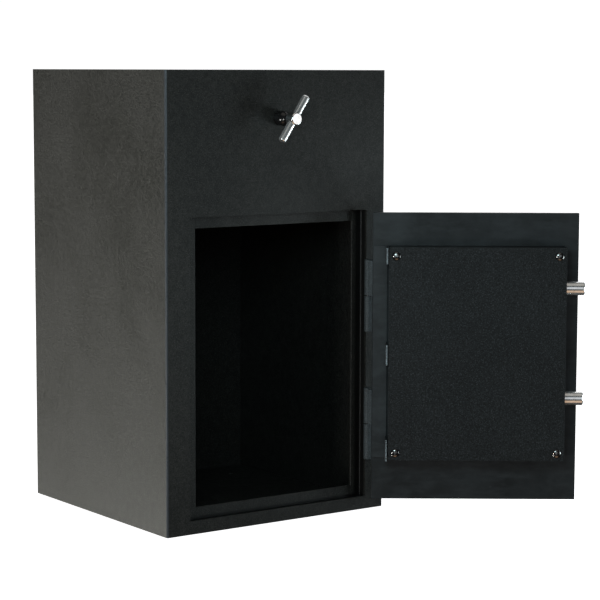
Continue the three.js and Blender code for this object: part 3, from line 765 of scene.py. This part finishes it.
def bearings():
    """A flanged bush in the front plate and a ring on the back panel."""
    node = "hopper_front_bearing"
    low, high = span(node)
    sleeve, shoulder = 9 * MM, low.y + 4.3 * MM
    corners = [(BORE, low.y), (sleeve, low.y), (sleeve, shoulder), (radius_of(node), shoulder),
               (radius_of(node), high.y), (BORE, high.y), (BORE, low.y)]
    stand_in(node, turned(node, rounded(corners, 0.5 * MM), ALONG_Y))
    node = "hopper_rear_bearing"
    low, high = span(node)
    stand_in(node, turned(node, ring_profile(BORE, radius_of(node), low.y, high.y, 0.8 * MM), ALONG_Y))


def key_lock():
    """A brass plug with its keyway, in a domed chrome ring on the door's outer face."""
    low, high = span("lock_plug")
    plug = turned("lock_plug", rod_profile(radius_of("lock_plug"), low.y, high.y, 0.6 * MM), ALONG_Y)
    centre = middle("lock_plug")
    keyway = box_mesh((centre.x - 1.2 * MM, low.y - MM, centre.z - 4.5 * MM),
                      (centre.x + 1.2 * MM, low.y + 14 * MM, centre.z + 4.5 * MM))
    plug = combined(plug, keyway, "DIFFERENCE")
    wards = box_mesh((centre.x - 2.4 * MM, low.y - MM, centre.z - 0.9 * MM),
                     (centre.x, low.y + 10 * MM, centre.z + 0.9 * MM))
    stand_in("lock_plug", combined(plug, wards, "DIFFERENCE"))
    low, high = span("lock_escutcheon")
    inner, outer = radius_of("lock_plug") + 0.3 * MM, radius_of("lock_escutcheon")
    corners = [(inner, high.y), (inner, low.y), (outer - 2.6 * MM, low.y),
               (outer, high.y - 0.8 * MM), (outer, high.y), (inner, high.y)]
    stand_in("lock_escutcheon", turned("lock_escutcheon", rounded(corners, 0.7 * MM), ALONG_Y, 80))


def handle_train():
    """What the door's T-handle turns behind the door plate."""
    for node in ("door_handle_spindle", "cam_pin"):
        low, high = span(node)
        stand_in(node, turned(node, rod_profile(radius_of(node), low.y, high.y, 0.6 * MM), ALONG_Y, 48))
    low, high = span("handle_cam")
    centre = middle("door_handle_spindle")
    section = ring_profile(BORE, high.x - centre.x, low.y, high.y, 0.5 * MM)
    disc = turned("door_handle_spindle", section, ALONG_Y, 96)
    notch = box_mesh((centre.x - 5.5 * MM, low.y - MM, centre.z + 19 * MM),
                     (centre.x + 5.5 * MM, high.y + MM, centre.z + 27 * MM))
    stand_in("handle_cam", combined(disc, notch, "DIFFERENCE"))


RIVET_HEIGHT = 270 * MM


def housing_rivet():
    """A small domed rivet on the lock side of the bolt housing."""
    low, high = span("housing_lock_side")
    dome = [(0, 1.4 * MM), (0.9 * MM, 1.25 * MM), (1.7 * MM, 0.8 * MM), (2.1 * MM, 0), (1.4 * MM, -1.5 * MM),
            (0, -1.5 * MM)]
    place = Matrix.Translation((low.x, (low.y + high.y) / 2 + 6 * MM, RIVET_HEIGHT))
    face_out = Matrix.Rotation(math.radians(-90), 4, "Y")
    extra("housing_rivet", moved(lathe(dome, 32), place @ face_out), "door", "chrome")


eased_plates()
body_wrap()
bracket()
folded_stops()
bolts()
t_handle("drop_handle")
t_handle("door_handle")
cover_screws()
hinges()
drum()
bearings()
key_lock()
handle_train()
housing_rivet()


# ---- Floor, light and camera ----
FLOOR_HALF_WIDTH = 40
BACKDROP = 1.05  # a little over white, so that the background is plain white


def sheet(name, size, height, look):
    """A flat square of the studio, not part of the object."""
    bm = bmesh.new()
    bmesh.ops.create_grid(bm, x_segments=1, y_segments=1, size=size)
    mesh = bpy.data.meshes.new(name)
    bm.to_mesh(mesh)
    bm.free()
    mesh.materials.append(look)
    plane = bpy.data.objects.new(name, mesh)
    plane.location.z = height
    bpy.context.scene.collection.objects.link(plane)
    return plane


def floor():
    """A pale sheet that throws no light or shade on the box, and a dark patch under it: painted shadow that also
    blocks light from below.
    """
    low, high = Vector(cad_bounds[0]), Vector(cad_bounds[1])
    pale = Graph("pale_floor")
    pale.finish(pale.mix(pale.noise(2.0), grey(0.82), grey(0.84)), 0.9, Specular_IOR_Level=0.1,
                Emission_Color=(1, 1, 1, 1), Emission_Strength=1.0)
    plane = sheet("floor", FLOOR_HALF_WIDTH, low.z - MM, pale.material)
    plane.visible_diffuse = plane.visible_glossy = plane.visible_shadow = False
    # Painted shadow under the box, dark so that it also sends no light back up.
    dark = Graph("shaded_floor")
    dark.finish(dark.mix(dark.noise(30.0), grey(0.01), grey(0.02)), 0.9)
    sheet("floor_under_box", high.y - 10 * MM, low.z - 0.5 * MM, dark.material)


# Where the studio is bright: a direction, where its glow starts and ends its fade, and its strength by colour.
# The first is below the floor's level and gives the left side its sheen, so the floor doesn't block it.
GLOWS = [
    ((-0.5, 0.7, -0.66), 0.93, 0.99, (26.0, 26.0, 24.0)),
    ((-0.52, -0.84, 0.1), 0.93, 0.99, (0.6, 0.62, 0.65)),
    ((-0.2, -0.3, 0.93), 0.85, 0.97, (0.35, 0.33, 0.3)),
    ((0.58, -0.81, -0.06), 0.984, 0.992, (1.2, 1.2, 1.2)),
    ((-0.3, -0.5, -0.8), 0.9, 0.98, (0.6, 0.4, 0.26)),
]
DIM = (0.02, 0.02, 0.02, 1)


def studio_world():
    """A dim room with a few glows that light the box, and plain white as a backdrop."""
    world = bpy.data.worlds.new("studio")
    world.use_nodes = True
    bpy.context.scene.world = world
    tree = world.node_tree
    tree.nodes.clear()

    def add(kind, **settings):
        made = tree.nodes.new(kind)
        for key, value in settings.items():
            setattr(made, key, value)
        return made

    direction = add("ShaderNodeTexCoord").outputs["Generated"]
    total = DIM
    for towards, fade_start, fade_end, colour in GLOWS:
        angle = add("ShaderNodeVectorMath", operation="DOT_PRODUCT")
        angle.inputs[1].default_value = Vector(towards).normalized()
        tree.links.new(direction, angle.inputs[0])
        fade = add("ShaderNodeMapRange", interpolation_type="SMOOTHSTEP")
        fade.inputs["From Min"].default_value = fade_start
        fade.inputs["From Max"].default_value = fade_end
        tree.links.new(angle.outputs["Value"], fade.inputs["Value"])
        more = add("ShaderNodeMix", data_type="RGBA", blend_type="ADD", clamp_result=False)
        tree.links.new(fade.outputs["Result"], more.inputs["Factor"])
        if isinstance(total, tuple):
            more.inputs[6].default_value = total
        else:
            tree.links.new(total, more.inputs[6])
        more.inputs[7].default_value = colour + (1,)
        total = more.outputs[2]
    lit = add("ShaderNodeBackground")
    tree.links.new(total, lit.inputs["Color"])
    seen = add("ShaderNodeBackground")
    seen.inputs["Color"].default_value = (1, 1, 1, 1)
    seen.inputs["Strength"].default_value = BACKDROP
    chooser = add("ShaderNodeMixShader")
    output = add("ShaderNodeOutputWorld")
    tree.links.new(add("ShaderNodeLightPath").outputs["Is Camera Ray"], chooser.inputs["Fac"])
    tree.links.new(lit.outputs["Background"], chooser.inputs[1])
    tree.links.new(seen.outputs["Background"], chooser.inputs[2])
    tree.links.new(chooser.outputs["Shader"], output.inputs["Surface"])


def aim(lamp, source):
    lamp.rotation_euler = Vector(source).to_track_quat("Z", "Y").to_euler()
    bpy.context.scene.collection.objects.link(lamp)


def sun(name, strength, source, spread):
    """A wide soft light from far away, in the direction of source."""
    data = bpy.data.lights.new(name, "SUN")
    data.energy = strength
    data.angle = math.radians(spread)
    aim(bpy.data.objects.new(name, data), source)


def softbox(name, watts, place, target, size, colour=(1, 1, 1)):
    """A square panel light at place, facing target."""
    data = bpy.data.lights.new(name, "AREA")
    data.energy = watts
    data.size = size
    data.color = colour
    lamp = bpy.data.objects.new(name, data)
    lamp.location = place
    lamp.visible_camera = False
    aim(lamp, Vector(place) - Vector(target))


CAMERA_AT = (-1.5717, -2.4269, 0.6116)
YAW, PITCH, ROLL = 35.537, 6.417, 0.161  # degrees: to the right, down, and over
LENS_MM, SENSOR_MM = 123.39, 36


def camera():
    """Stands in front and to the left, at the height of the box's top."""
    data = bpy.data.cameras.new("camera")
    data.lens = LENS_MM
    data.sensor_width = SENSOR_MM
    data.clip_end = 200
    lens = bpy.data.objects.new("camera", data)
    yaw, pitch, roll = (math.radians(v) for v in (YAW, PITCH, ROLL))
    turn = Matrix.Rotation(-yaw, 4, "Z") @ Matrix.Rotation(math.pi / 2 - pitch, 4, "X")
    lens.matrix_world = Matrix.Translation(CAMERA_AT) @ turn @ Matrix.Rotation(roll, 4, "Z")
    bpy.context.scene.collection.objects.link(lens)
    bpy.context.scene.camera = lens


bpy.context.scene.view_settings.view_transform = "Standard"
floor()
studio_world()
softbox("front_panel", 3.9, (0.8, -0.7, 0.18), (0.14, -0.2, 0.3), 0.35, (0.83, 0.97, 1))
softbox("door_panel", 3.4, (-0.52, -0.9, 0.68), (0.15, -0.2, 0.38), 0.35, (0.72, 0.95, 1))
sun("back_fill", 1.5, (0.5, 0.75, 0.5), 80)
softbox("left_panel", 9.5, (-1.7, -0.58, 0.0), (0, -0.2, 0.2), 0.3, (1, 1, 0.98))
camera()
